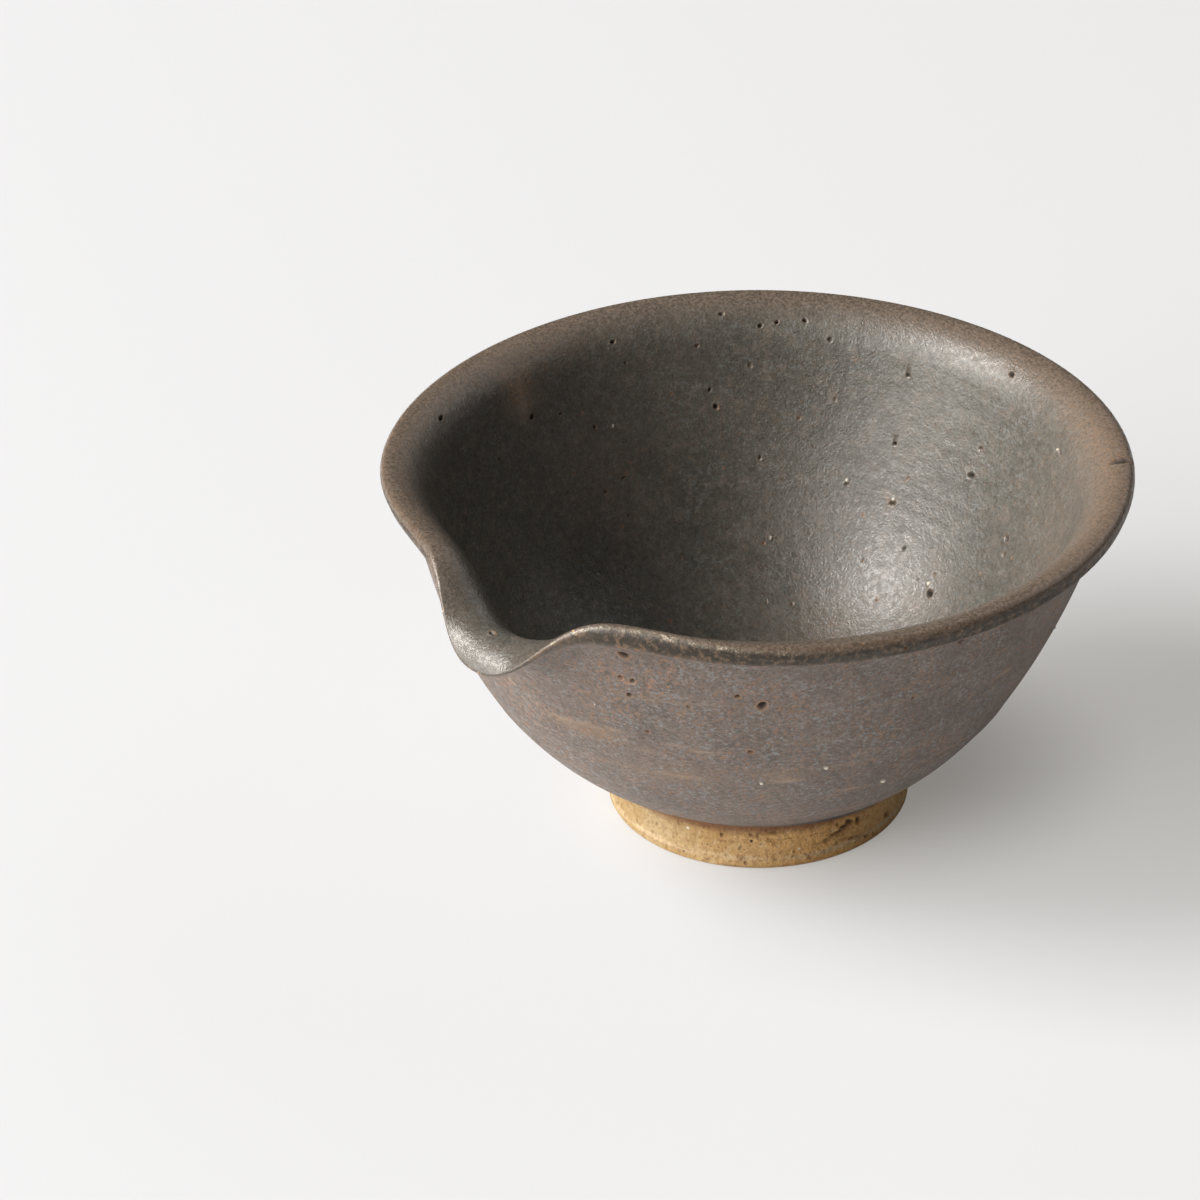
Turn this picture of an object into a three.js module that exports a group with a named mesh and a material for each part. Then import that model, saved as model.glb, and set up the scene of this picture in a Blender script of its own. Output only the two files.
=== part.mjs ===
// A yuzamashi: a thrown stoneware bowl with a pulled spout, in which boiled
// water cools before it goes on the tea. Millimetres, +Z up. The foot stands on
// z = 0 and the spout points along -Y.
//
// The bowl is one piece of clay under one coat of glaze. Both are turned from
// one profile, in which a point is (radius, height), and both are then shaped
// by the same spout, so that the glaze lies on the clay everywhere.

import * as THREE from 'three';

// Bowl, measured over the glaze.
const RIM_RADIUS = 60;
const BOWL_HEIGHT = 61.2;
const NECK_RADIUS = 55.5;
const NECK_HEIGHT = 55;
const WALL_THICKNESS = 4;
const FLOOR_THICKNESS = 4.6;

// Curve of the wall: directions are degrees from upright, reaches are how far
// each end of the curve holds its direction.
const NECK_FLARE = 16.5;
const NECK_REACH = 22.5;
const FOOT_FLARE = 55.5;
const FOOT_REACH = 19;
const FLOOR_REACH = 36;

// Everted lip: the mouth rolls outwards to a rounded crown, and a short face
// below it leans in, by a tilt in degrees, before the undercut.
const MOUTH_REACH = 3.2;
const CROWN_REACH = 3.4;
const LIP_ROUNDING = 1.3;
const LIP_FACE = 1.5;
const LIP_TILT = 20;
const LIP_CHAMFER = 0.5;

// Foot ring, turned from the clay of the floor.
const FOOT_RADIUS = 24.2;
const FOOT_HEIGHT = 7.2;
const FOOT_LEDGE = 1;
const FOOT_TAPER = 0.4;
const FOOT_RING_WIDTH = 5.6;
const FOOT_CHAMFER = 0.8;
const RECESS_DEPTH = 5;
const RECESS_TAPER = 1.4;
const RECESS_FILLET = 1.6;

// Glaze, which stops short of the foot.
const GLAZE_THICKNESS = 0.6;
const GLAZE_EDGE = 0.4;

// Spout: over a narrow arc the rim is drawn outwards and pressed down, and the
// wall below it is tipped into a trough. On both sides of it the rim is pinched
// inwards and turned upright, more on one side than on the other. Tilts are
// degrees.
const SPOUT_REACH = 6.1;
const SPOUT_DROP = 8.8;
const SPOUT_TILT = 55;
const SPOUT_START = 23;
const SPOUT_HALF_WIDTH = THREE.MathUtils.degToRad(10.6);
const SPOUT_SQUARENESS = 2.4;
const FLANK_PINCH = 2.1;
const FLANK_TILT = 20;
const FLANK_TURN = 15;
const FLANK_OFFSET = THREE.MathUtils.degToRad(23);
const FLANK_HALF_WIDTH = THREE.MathUtils.degToRad(16);

// Edge of the spout, where the mouth rolls over further and runs thin. It dips
// below the crown and falls at an angle from level, before the spout is tipped.
const EDGE_ROUNDING = 0.9;
const EDGE_DROP = 1.3;
const EDGE_FALL = 15;
const EDGE_REACH = 3.6;
const EDGE_RETURN = 60;
const EDGE_HALF_WIDTH = THREE.MathUtils.degToRad(14);
const EDGE_SQUARENESS = 3;

// How far the belly swells towards the spout, and in on the other side.
const BELLY_LEAN = 1.7;

// Fineness of the mesh.
const SEGMENTS = 68;
const SPOUT_CROWDING = 0.6;
const WALL_STEPS = 11;
const LIP_STEPS = 4;
const FACE_STEPS = 2;
const FILLET_STEPS = 3;

const point = (radius, height) => new THREE.Vector2(radius, height);

// Unit vector up the wall, at an angle in degrees from upright.
function uphill(degrees) {
  const angle = THREE.MathUtils.degToRad(degrees);
  return point(Math.sin(angle), Math.cos(angle));
}

function curvePoints(curve, steps) {
  return curve.getSpacedPoints(steps);
}

// Joins stretches of a profile, leaving out the point that two of them share.
function join(...stretches) {
  return stretches.flatMap((stretch, i) => (i === 0 ? stretch : stretch.slice(1)));
}

// Inside of the bowl, from the middle of the floor up to the neck.
function insideWall() {
  const floorHeight = RECESS_DEPTH + FLOOR_THICKNESS;
  const neck = point(NECK_RADIUS - WALL_THICKNESS, NECK_HEIGHT);
  const curve = new THREE.CubicBezierCurve(
    point(0, floorHeight),
    point(FLOOR_REACH, floorHeight),
    neck.clone().addScaledVector(uphill(NECK_FLARE), -NECK_REACH),
    neck,
  );
  return curvePoints(curve, WALL_STEPS);
}

// Round part of a lip, as angles in degrees from level.
function roundLip(centre, radius, from, to) {
  const start = THREE.MathUtils.degToRad(from);
  const end = THREE.MathUtils.degToRad(to);
  return new THREE.EllipseCurve(centre.x, centre.y, radius, radius, start, end, true);
}

// Mouth: the upper side of a lip, which leaves the neck inside along the wall
// and arrives at its end in a direction.
function mouth(end, direction, reach) {
  const inner = point(NECK_RADIUS - WALL_THICKNESS, NECK_HEIGHT);
  return new THREE.CubicBezierCurve(
    inner,
    inner.clone().addScaledVector(uphill(NECK_FLARE), MOUTH_REACH),
    end.clone().addScaledVector(direction, -reach),
    end,
  );
}

// Undercut: from the lower edge of a lip back to the neck outside.
function undercut(arris) {
  return new THREE.QuadraticBezierCurve(
    arris,
    point(NECK_RADIUS + LIP_CHAMFER, arris.y - LIP_CHAMFER),
    point(NECK_RADIUS, NECK_HEIGHT),
  );
}

// Lip all round the bowl, from the neck inside, over the crown and down to the
// neck outside.
function lip() {
  const centre = point(RIM_RADIUS - LIP_ROUNDING, BOWL_HEIGHT - LIP_ROUNDING);
  const crown = roundLip(centre, LIP_ROUNDING, 90, -LIP_TILT);
  const crownTop = crown.getPoint(0);
  const crownEnd = crown.getPoint(1);
  const faceEnd = crownEnd.clone().addScaledVector(uphill(LIP_TILT), -LIP_FACE);
  const arris = faceEnd.clone().sub(point(LIP_CHAMFER, LIP_CHAMFER));
  return join(
    curvePoints(mouth(crownTop, uphill(90), CROWN_REACH), LIP_STEPS),
    curvePoints(crown, LIP_STEPS),
    [crownEnd, faceEnd, arris],
    curvePoints(undercut(arris), LIP_STEPS),
  );
}

// Lip in the middle of the spout, before the spout is tipped: point for point
// it matches the plain lip.
function spoutLip() {
  const centre = point(RIM_RADIUS - EDGE_ROUNDING, BOWL_HEIGHT - EDGE_DROP - EDGE_ROUNDING);
  const over = roundLip(centre, EDGE_ROUNDING, 90 - EDGE_FALL, 0);
  const under = roundLip(centre, EDGE_ROUNDING, 0, -EDGE_RETURN);
  return join(
    curvePoints(mouth(over.getPoint(0), uphill(90 + EDGE_FALL), EDGE_REACH), LIP_STEPS),
    curvePoints(over, LIP_STEPS),
    curvePoints(under, FACE_STEPS),
    curvePoints(undercut(under.getPoint(1)), LIP_STEPS),
  );
}

// Outside of the bowl, from the neck down to the edge of the glaze.
function outsideWall() {
  const neck = point(NECK_RADIUS, NECK_HEIGHT);
  const foot = point(FOOT_RADIUS + FOOT_LEDGE, FOOT_HEIGHT);
  const curve = new THREE.CubicBezierCurve(
    neck,
    neck.clone().addScaledVector(uphill(NECK_FLARE), -NECK_REACH),
    foot.clone().addScaledVector(uphill(FOOT_FLARE), FOOT_REACH),
    foot,
  );
  return curvePoints(curve, WALL_STEPS);
}

// Foot ring and the recess that it surrounds, from under the glaze to the axis.
function foot() {
  const innerRadius = FOOT_RADIUS - FOOT_RING_WIDTH;
  const corner = point(innerRadius - RECESS_TAPER, RECESS_DEPTH);
  const fillet = new THREE.QuadraticBezierCurve(
    corner.clone().add(point(RECESS_TAPER * RECESS_FILLET / RECESS_DEPTH, -RECESS_FILLET)),
    corner,
    corner.clone().add(point(-RECESS_FILLET, 0)),
  );
  return [
    point(FOOT_RADIUS + FOOT_TAPER, FOOT_HEIGHT - FOOT_TAPER),
    point(FOOT_RADIUS, FOOT_CHAMFER),
    point(FOOT_RADIUS - FOOT_CHAMFER, 0),
    point(innerRadius + FOOT_CHAMFER, 0),
    point(innerRadius, FOOT_CHAMFER),
    ...curvePoints(fillet, FILLET_STEPS),
    point(0, RECESS_DEPTH),
  ];
}

// The clay under the glaze: each point goes in by the thickness of the glaze.
function underGlaze(profile) {
  const last = profile.length - 1;
  return profile.map((here, i) => {
    const before = profile[Math.max(i - 1, 0)];
    const after = profile[Math.min(i + 1, last)];
    const along = after.clone().sub(before).normalize();
    const depth = i === last ? GLAZE_EDGE : GLAZE_THICKNESS;
    const inwards = i === 0 ? point(0, -1) : point(along.y, -along.x);
    return here.clone().addScaledVector(inwards, depth);
  });
}

// How strongly the spout acts at an angle from its middle, from 0 to 1.
function spoutShare(angle) {
  return Math.exp(-((Math.abs(angle) / SPOUT_HALF_WIDTH) ** SPOUT_SQUARENESS));
}

// How much of the spout's thin edge there is at an angle, from 0 to 1.
function edgeShare(angle) {
  return Math.exp(-((Math.abs(angle) / EDGE_HALF_WIDTH) ** EDGE_SQUARENESS));
}

// How strongly the rim is pinched beside the spout, from 0 to 1.
function flankShare(angle) {
  return Math.exp(-(((Math.abs(angle) - FLANK_OFFSET) / FLANK_HALF_WIDTH) ** 2));
}

const upWall = uphill(NECK_FLARE);
const outOfWall = point(upWall.y, -upWall.x);
const rimMiddle = point(RIM_RADIUS - WALL_THICKNESS / 2, BOWL_HEIGHT);

// The middle of the wall at an angle from the spout, from where the spout
// starts below the rim up to the rim.
function wallLine(angle) {
  const spout = spoutShare(angle);
  const flank = flankShare(angle);
  const start = rimMiddle.clone().addScaledVector(upWall, -SPOUT_START);
  const outwards = SPOUT_REACH * spout - FLANK_PINCH * flank;
  const end = rimMiddle.clone().add(point(outwards, -SPOUT_DROP * spout));
  const flankTilt = FLANK_TILT + FLANK_TURN * Math.tanh(angle / SPOUT_HALF_WIDTH);
  const tip = uphill(NECK_FLARE + SPOUT_TILT * spout - flankTilt * flank);
  const hold = SPOUT_START / 3;
  return new THREE.CubicBezierCurve(
    start,
    start.clone().addScaledVector(upWall, hold),
    end.clone().addScaledVector(tip, -hold),
    end,
  );
}

// Moves a point with the middle of the wall: it keeps its distance from that
// line, and its share of the way up it.
function followWall(place, line) {
  const offset = place.clone().sub(rimMiddle);
  const height = SPOUT_START + offset.dot(upWall);
  if (height <= 0) {
    return place.clone();
  }
  const share = Math.min(height / SPOUT_START, 1);
  const along = line.getTangent(share);
  const across = point(along.y, -along.x);
  return line.getPoint(share)
    .addScaledVector(along, height - share * SPOUT_START)
    .addScaledVector(across, offset.dot(outOfWall));
}

// Swells the belly towards the spout, most of all a third of the way up.
function lean(height, angle) {
  const rise = THREE.MathUtils.clamp((height - FOOT_HEIGHT) / (BOWL_HEIGHT - FOOT_HEIGHT), 0, 1);
  const swell = (share) => share * (1 - share) ** 2;
  return BELLY_LEAN * swell(rise) / swell(1 / 3) * Math.cos(angle);
}

// A ring of points round the bowl, from one point of the plain profile and its
// match in the spout's profile.
function ring(plain, drawn, angles, lines) {
  return angles.flatMap((angle, j) => {
    const place = plain.clone().lerp(drawn, edgeShare(angle));
    const moved = followWall(place, lines[j]);
    const radius = moved.x + lean(place.y, angle);
    return [radius * Math.sin(angle), -radius * Math.cos(angle), moved.y];
  });
}

// Angles round the bowl, closer together at the spout.
function ringAngles() {
  return Array.from({ length: SEGMENTS }, (_, j) => {
    const even = 2 * Math.PI * j / SEGMENTS;
    const angle = even - SPOUT_CROWDING * Math.sin(even);
    return angle > Math.PI ? angle - 2 * Math.PI : angle;
  });
}

// Splits a four-sided patch along its shorter diagonal, so that glaze and clay
// meet in the same triangles.
function patch(positions, [a, b, c, d]) {
  const corner = (i) => new THREE.Vector3().fromArray(positions, 3 * i);
  const alongAC = corner(a).distanceToSquared(corner(c));
  const alongBD = corner(b).distanceToSquared(corner(d));
  return alongAC < alongBD ? [a, b, c, a, c, d] : [a, b, d, b, c, d];
}

// Turns a profile that starts and ends on the axis into one closed body, with
// the spout's profile in the middle of the spout.
function turned(profile, spoutProfile) {
  const angles = ringAngles();
  const lines = angles.map(wallLine);
  const rings = profile.slice(1, -1);
  const axisPoint = (place) => [0, -lean(place.y, 0), place.y];
  const positions = [
    ...axisPoint(profile[0]),
    ...rings.flatMap((place, i) => ring(place, spoutProfile[i + 1], angles, lines)),
    ...axisPoint(profile[profile.length - 1]),
  ];
  const at = (row, j) => 1 + row * SEGMENTS + (j % SEGMENTS);
  const end = 1 + rings.length * SEGMENTS;
  const index = [];
  for (let j = 0; j < SEGMENTS; j += 1) {
    index.push(0, at(0, j), at(0, j + 1));
    for (let row = 0; row < rings.length - 1; row += 1) {
      const corners = [at(row, j), at(row + 1, j), at(row + 1, j + 1), at(row, j + 1)];
      index.push(...patch(positions, corners));
    }
    index.push(at(rings.length - 1, j), end, at(rings.length - 1, j + 1));
  }
  const geometry = new THREE.BufferGeometry();
  geometry.setAttribute('position', new THREE.Float32BufferAttribute(positions, 3));
  geometry.setIndex(index);
  geometry.computeVertexNormals();
  return geometry;
}

// Each surface comes twice: the plain profile, and the one in the middle of the
// spout.
const glazedSurface = (lipPoints) => join(insideWall(), lipPoints, outsideWall());
const glazed = [glazedSurface(lip()), glazedSurface(spoutLip())];
const clay = glazed.map(underGlaze);

// Clay: wall, spout, floor and foot ring in one piece, bare only at the foot.
function makeClayBody() {
  const material = new THREE.MeshStandardMaterial({
    color: '#a8825a', roughness: 0.9, metalness: 0,
  });
  const profiles = clay.map((surface) => [...surface, ...foot()]);
  const mesh = new THREE.Mesh(turned(...profiles), material);
  mesh.name = 'clay_body';
  return mesh;
}

// Glaze: one skin inside, over the lip and spout, and down to above the foot.
function makeGlazeCoat() {
  const material = new THREE.MeshStandardMaterial({
    color: '#4a4340', roughness: 0.45, metalness: 0,
  });
  const profiles = glazed.map((surface, i) => [...surface, ...clay[i].toReversed()]);
  const mesh = new THREE.Mesh(turned(...profiles), material);
  mesh.name = 'glaze_coat';
  return mesh;
}

const group = new THREE.Group();
group.name = 'yuzamashi';
group.add(makeClayBody(), makeGlazeCoat());

// The middle of the whole length, spout included, goes over the origin.
const extent = new THREE.Box3().setFromObject(group);
group.position.y = -(extent.min.y + extent.max.y) / 2;

export default group;
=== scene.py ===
# The look of a yuzamashi: a thrown stoneware bowl with a pulled spout, under a
# dark iron glaze that stops above its bare foot. Metres, +Z up, spout along -Y.

import math

import bpy
import numpy as np
from mathutils import Matrix, Vector, noise


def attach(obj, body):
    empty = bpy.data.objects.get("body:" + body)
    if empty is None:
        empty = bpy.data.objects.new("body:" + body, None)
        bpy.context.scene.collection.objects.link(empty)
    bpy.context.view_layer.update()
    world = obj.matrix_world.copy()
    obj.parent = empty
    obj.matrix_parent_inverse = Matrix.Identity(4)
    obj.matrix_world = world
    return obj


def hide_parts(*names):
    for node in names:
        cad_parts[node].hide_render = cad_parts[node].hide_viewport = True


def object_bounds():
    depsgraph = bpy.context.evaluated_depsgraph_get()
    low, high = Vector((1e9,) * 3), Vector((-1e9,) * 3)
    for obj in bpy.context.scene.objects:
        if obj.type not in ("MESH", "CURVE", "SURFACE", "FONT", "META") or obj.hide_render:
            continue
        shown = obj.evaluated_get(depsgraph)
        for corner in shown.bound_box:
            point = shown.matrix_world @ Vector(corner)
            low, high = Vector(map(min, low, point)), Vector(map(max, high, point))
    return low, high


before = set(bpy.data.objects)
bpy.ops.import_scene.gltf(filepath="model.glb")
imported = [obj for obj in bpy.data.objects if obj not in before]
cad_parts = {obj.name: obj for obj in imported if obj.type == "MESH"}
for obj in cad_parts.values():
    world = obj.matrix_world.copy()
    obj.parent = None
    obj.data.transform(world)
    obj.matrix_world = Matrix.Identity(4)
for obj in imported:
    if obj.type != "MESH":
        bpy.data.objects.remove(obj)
cad_low, cad_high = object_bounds()

MM = 0.001

# Bowl, in millimetres, measured over the glaze.
RIM_RADIUS = 60.0
BOWL_HEIGHT = 61.2
NECK_RADIUS = 55.5
NECK_HEIGHT = 55.0
WALL_THICKNESS = 4.0
NECK_FLARE = 16.5
NECK_REACH = 22.5
FOOT_FLARE = 55.5
FOOT_REACH = 19.0
FLOOR_REACH = 36.0
FLOOR_HEIGHT = 9.6

# Lip.
MOUTH_REACH = 3.2
CROWN_REACH = 3.4
LIP_ROUNDING = 1.3
LIP_FACE = 1.2
LIP_TILT = 20.0
LIP_CHAMFER = 0.5

# Foot ring.
FOOT_RADIUS = 24.6
FOOT_HEIGHT = 7.9
FOOT_LEDGE = 1.0
FOOT_TAPER = 0.4
FOOT_RING_WIDTH = 5.6
FOOT_CHAMFER = 0.8
RECESS_DEPTH = 5.0
RECESS_TAPER = 1.4
RECESS_FILLET = 1.6

# Spout.
SPOUT_REACH = 6.1
SPOUT_DROP = 8.8
SPOUT_TILT = 55.0
SPOUT_START = 23.0
SPOUT_HALF_WIDTH = math.radians(10.6)
SPOUT_SQUARENESS = 2.4
# The flanks differ: each TURN is added on one side and taken off on the other.
FLANK_PINCH = 1.8
FLANK_PINCH_TURN = 0.3
FLANK_TILT = 16.5
FLANK_TURN = 18.5
FLANK_OFFSET = math.radians(23.0)
FLANK_HALF_WIDTH = math.radians(16.0)
BELLY_LEAN = 1.7

# Edge of the spout, where the lip rolls over and runs thin.
EDGE_ROUNDING = 0.4
EDGE_DROP = 1.9
EDGE_FALL = 15.0
EDGE_REACH = 3.6
EDGE_RETURN = 60.0
EDGE_HALF_WIDTH = math.radians(14.0)
EDGE_SQUARENESS = 3.0

# The glaze is drawn thicker than it is where the clay behind it is hidden, so
# that the deepest pits don't reach through it.
HIDDEN_DEPTH = 1.3
GLAZE_EDGE = 0.4
HIDDEN_LIP_DEPTH = 2.2

# Where the glaze ends above the foot: a slight roll, on a line that wanders.
HEM_ROLL = 0.16
HEM_SIDE_ROLL = 0.3
HEM_RINGS = 8
HEM_WIDTH = 0.9
HEM_WANDER = 0.24
HEM_WAVES = [(2, 1.0, 0.7), (5, 0.6, 2.1), (13, 0.35, 0.0)]
HEM_REACH = 5.0
# The side where the roll is thickest and the glaze's end is darkened, its spread, and how far up the dark
# reaches: dark thick glaze with painted shadow under the roll.
HEM_DARK_ANGLE = math.radians(78)
HEM_DARK_SPAN = math.radians(32)
HEM_DARK_WIDTH = 3.0

# The bowl isn't quite round and its rim isn't level: waves by count, height and phase.
OUT_OF_ROUND = [(2, 0.26, 2.75), (3, 0.46, -1.9)]
RIM_WAVES = [(1, 0.08, 2.6), (2, 0.41, -0.35), (3, 0.2, 1.6)]

# The crest of the lip is painted brightest beside the spout: pale crystals under a painted highlight.
CREST_ANGLE = math.radians(24)
CREST_SPAN = math.radians(24)

# The foot is turned up to a faint arris on the outside.
ARRIS_HEIGHT = 25.0
ARRIS_RISE = 0.4
ARRIS_WIDTH = 1.5
ARRIS_SIDE = math.radians(135)
ARRIS_SPAN = 0.7
ARRIS_LEAST = 0.3

# On one side the foot spreads towards the ground and the glaze's end lies higher.
SPREAD_ANGLE = math.radians(43)
SPREAD_SPAN = math.radians(52)
FOOT_SPREAD = 0.8
HEM_RISE = 0.65
HEM_RISE_REACH = 10.0

# Fineness.
TURNS = 400
SPOUT_CROWDING = 0.35
WALL_RINGS = 46
LIP_RINGS = 10
FACE_RINGS = 3
ARRIS_RINGS = 2
HIDDEN_RINGS = 9
FOOT_SIDE_RINGS = 14
FOOT_EDGE_RINGS = 4
FOOT_BASE_RINGS = 8
RECESS_SIDE_RINGS = 6
FILLET_RINGS = 5
RECESS_RINGS = 14
FINE_RINGS = 80
FINE_LIP_RINGS = 16
PIT_CUTS = 5

# Pits that burst in the glaze: angle from the spout in degrees, height, width
# round the bowl, width up the wall, and depth.
OUTSIDE_PITS = [
    (22, 56.2, 1.45, 1.25, 0.6), (21, 51.4, 0.9, 0.7, 0.35), (23, 51.1, 0.9, 0.8, 0.4),
    (22, 47.8, 0.9, 0.8, 0.45), (44, 48, 1.45, 1.3, 0.7), (40, 50, 0.7, 0.7, 0.4),
    (32, 47.1, 0.7, 0.7, 0.25), (24, 40, 0.55, 0.5, 0.3), (42, 37.5, 0.7, 0.7, 0.35),
    (70, 45.5, 0.7, 0.65, 0.3), (65, 59.4, 0.55, 0.45, 0.3), (77, 55, 0.9, 0.65, 0.35),
    (150, 44, 1.1, 0.7, 0.45), (205, 50, 1, 0.65, 0.4), (238, 36, 1.3, 0.8, 0.5), (282, 47.5, 1, 0.65, 0.4),
    (318, 41, 0.9, 0.5, 0.4), (182, 31, 0.9, 0.5, 0.35), (262, 53, 0.7, 0.45, 0.3),
    (340, 29, 0.7, 0.45, 0.3),
]
INSIDE_PITS = [
    (-130, 59.3, 0.75, 0.75, 0.35), (-137, 57.7, 0.7, 0.6, 0.5), (-140, 58.2, 0.6, 0.5, 0.5),
    (-145, 58.6, 0.7, 0.6, 0.5), (-150, 56.3, 0.75, 0.7, 0.35), (-135, 51.6, 0.7, 0.6, 0.3),
    (-127, 48.1, 0.6, 0.5, 0.4), (-128, 45.4, 0.75, 0.7, 0.7), (-145, 43.6, 0.6, 0.5, 0.3),
    (-137, 37.4, 0.6, 0.5, 0.35), (-166, 42.2, 0.7, 0.5, 0.65), (-166, 53, 0.7, 0.6, 0.45),
    (134, 61.15, 2.0, 3.0, 0.5), (173, 58.8, 1.1, 0.75, 0.55), (174, 46.3, 0.75, 0.5, 0.4),
    (174, 41.8, 1.2, 0.8, 0.75), (151, 54.4, 1.2, 0.7, 0.4), (-157, 34.7, 0.7, 0.5, 0.35),
    (-169, 33.5, 0.95, 0.7, 0.4), (-176, 28.1, 0.75, 0.5, 0.35), (170, 24.4, 1.45, 0.9, 0.7),
    (172, 26.7, 0.7, 0.45, 0.3), (156, 37.3, 1.25, 0.7, 0.45), (154, 35.3, 1, 0.5, 0.5),
    (-148, 18.1, 0.6, 0.5, 0.3), (-109, 57.8, 0.75, 0.6, 0.45), (-66, 59.3, 1.25, 0.7, 0.5),
    (-88, 51, 0.95, 0.7, 0.6), (-95, 49.5, 0.6, 0.45, 0.4), (-102, 45.6, 0.7, 0.5, 0.4),
    (-106, 36.8, 0.6, 0.5, 0.4), (-101, 35.5, 0.85, 0.6, 0.3), (-105, 31.3, 0.5, 0.4, 0.35),
    (-125, 55.2, 0.6, 0.5, 0.3), (-77, 47.6, 0.6, 0.4, 0.35), (-70, 48.1, 0.7, 0.4, 0.3),
    (-1, 58, 1.0, 0.7, 0.6), (20, 33, 0.7, 0.6, 0.4), (62, 45, 0.6, 0.5, 0.4), (95, 38, 0.7, 0.6, 0.45),
    (-20, 24, 0.6, 0.5, 0.35),
]
# Marks in the bare clay of the foot: pits, a gouge and a scratch beside it.
FOOT_PITS = [
    (41, 6, 0.6, 0.6, 0.3), (100, 3.1, 1.1, 0.95, 0.65), (30, 5.6, 0.6, 0.6, 0.4), (39, 1.1, 0.6, 0.6, 0.3),
    (37, 3.8, 0.55, 0.55, 0.3), (13, 6.1, 0.55, 1.1, 0.2), (0.5, 4.4, 0.5, 0.5, 0.25),
    (2.5, 4.4, 0.4, 0.4, 0.25), (49, 6.4, 1.55, 0.5, 0.25), (47.5, 5.1, 0.7, 0.4, 0.2),
    (52, 2.9, 0.7, 0.4, 0.2), (57, 2.8, 0.6, 0.5, 0.25), (77, 3, 1.3, 0.35, 0.25),
    (80.5, 2.6, 1.55, 0.4, 0.4), (84.5, 2.1, 1.55, 0.35, 0.3), (88, 1.6, 0.95, 0.5, 0.4),
    (74, 5.9, 0.6, 0.5, 0.4), (150, 4.2, 1.1, 0.85, 0.5), (196, 2.6, 0.7, 0.7, 0.4),
    (231, 5.2, 1.45, 0.6, 0.45), (265, 3.4, 0.6, 0.6, 0.4), (305, 4.8, 0.95, 0.7, 0.45),
    (335, 2.2, 0.7, 0.6, 0.3), (70.5, 3.8, 2.4, 0.5, 0.3), (74, 4.4, 2.4, 0.6, 0.45), (77, 5, 2, 0.8, 0.55),
    (79.5, 5.6, 1.5, 1, 0.65), (83.5, 5.4, 0.9, 1.2, 0.5),
]
SMALL_FOOT_PITS = 150
SMALL_FOOT_PIT_HEIGHTS = (0.9, 7.1)
FOOT_ROUGHNESS = 0.1
FOOT_GRAIN = 0.9
# A finer roughness over the first, and where and over what length both fade in from the ends.
FOOT_FINE_SHARE = 0.6
FOOT_FINENESS = 2.3
FOOT_FADE_FROM = 0.4
FOOT_FADE_OVER = 0.5

# Warm light painted on the clay of the foot, on its shaded side.
WARM_LIGHT_ANGLE = math.radians(72)
WARM_LIGHT_SPAN = math.radians(45)

# Small pits strewn over the glaze, in these ranges of the distance from the lip's crown.
SMALL_PITS = 50
SMALL_PIT_WIDTH = 0.45
SMALL_PIT_DEPTH = 0.2
SMALL_PITS_OUTSIDE = (7, 50)
SMALL_PITS_INSIDE = (-56, -6)

# How rusty the pits are, least and most; their raised rim and rusty ring, as shares of
# the half width and depth; and the depths from which and over which their holes are painted dark with
# shade.
OUTSIDE_RUST = (0.3, 0.7)
INSIDE_RUST = (0.1, 0.45)
PIT_RIM = (1.4, 0.4, 0.12)
PIT_RUST = (1.3, 0.35)
PIT_SHADE_FROM = 0.18
PIT_SHADE_OVER = 0.3

# A lump under the glaze inside: angle, height, width and rise.
LUMP = (-87, 53.0, 4.2, 0.55)
# How strongly the lump is painted pale pink: its own colour, and painted light on the shaded inner wall.
LUMP_PALE_AND_LIT = 0.7

# Pale grains of stone caught in the glaze: angle, height, width and height of each.
OUTSIDE_GRAINS = [
    (70, 25.3, 0.9, 0.9), (56, 32.6, 0.75, 0.75), (44, 29.6, 0.6, 0.6), (118, 38.0, 0.6, 0.6),
    (210, 28.0, 0.7, 0.7), (300, 33.0, 0.7, 0.7), (15, 44.0, 0.3, 0.5),
]
INSIDE_GRAINS = [
    (-157, 35.2, 0.6, 0.5), (-169, 34.1, 0.6, 0.5), (172, 25.4, 0.9, 0.7), (152, 54.4, 0.8, 0.4),
    (-106, 45.0, 0.5, 0.4), (-140, 26.0, 0.5, 0.4),
]
GRAIN_RISE = 0.35

# Light strokes left by the wheel outside: angle, height, half length, half height and strength.
STROKES = [
    (6.5, 37.6, 2.6, 0.5, 0.7), (12, 38.2, 2.8, 0.55, 0.75), (17.5, 38.8, 2.2, 0.45, 0.55),
    (-4.9, 41.2, 0.4, 0.3, 0.8), (-4.1, 40.5, 0.4, 0.3, 0.8), (29, 30.2, 3.0, 0.5, 0.65),
    (33.5, 37.0, 2.4, 0.45, 0.6), (28.5, 37.7, 2.2, 0.4, 0.4), (23, 35.4, 1.8, 0.5, 0.4),
    (48.5, 29.9, 2.2, 0.6, 1.0), (62.5, 25.2, 2.2, 0.45, 0.6), (60, 32.3, 2.0, 0.5, 0.4),
    (92, 42.2, 2.2, 0.5, 0.6), (98, 36.5, 3.4, 0.6, 0.3), (76, 33.0, 3.0, 0.6, 0.25),
    (85, 27.5, 3.0, 0.6, 0.25),
    (140, 33.0, 3.5, 0.7, 0.5), (190, 40.0, 3.0, 0.6, 0.4), (225, 30.0, 3.5, 0.8, 0.5),
    (265, 38.0, 3.0, 0.6, 0.4), (320, 34.0, 3.5, 0.7, 0.4),
]

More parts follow.
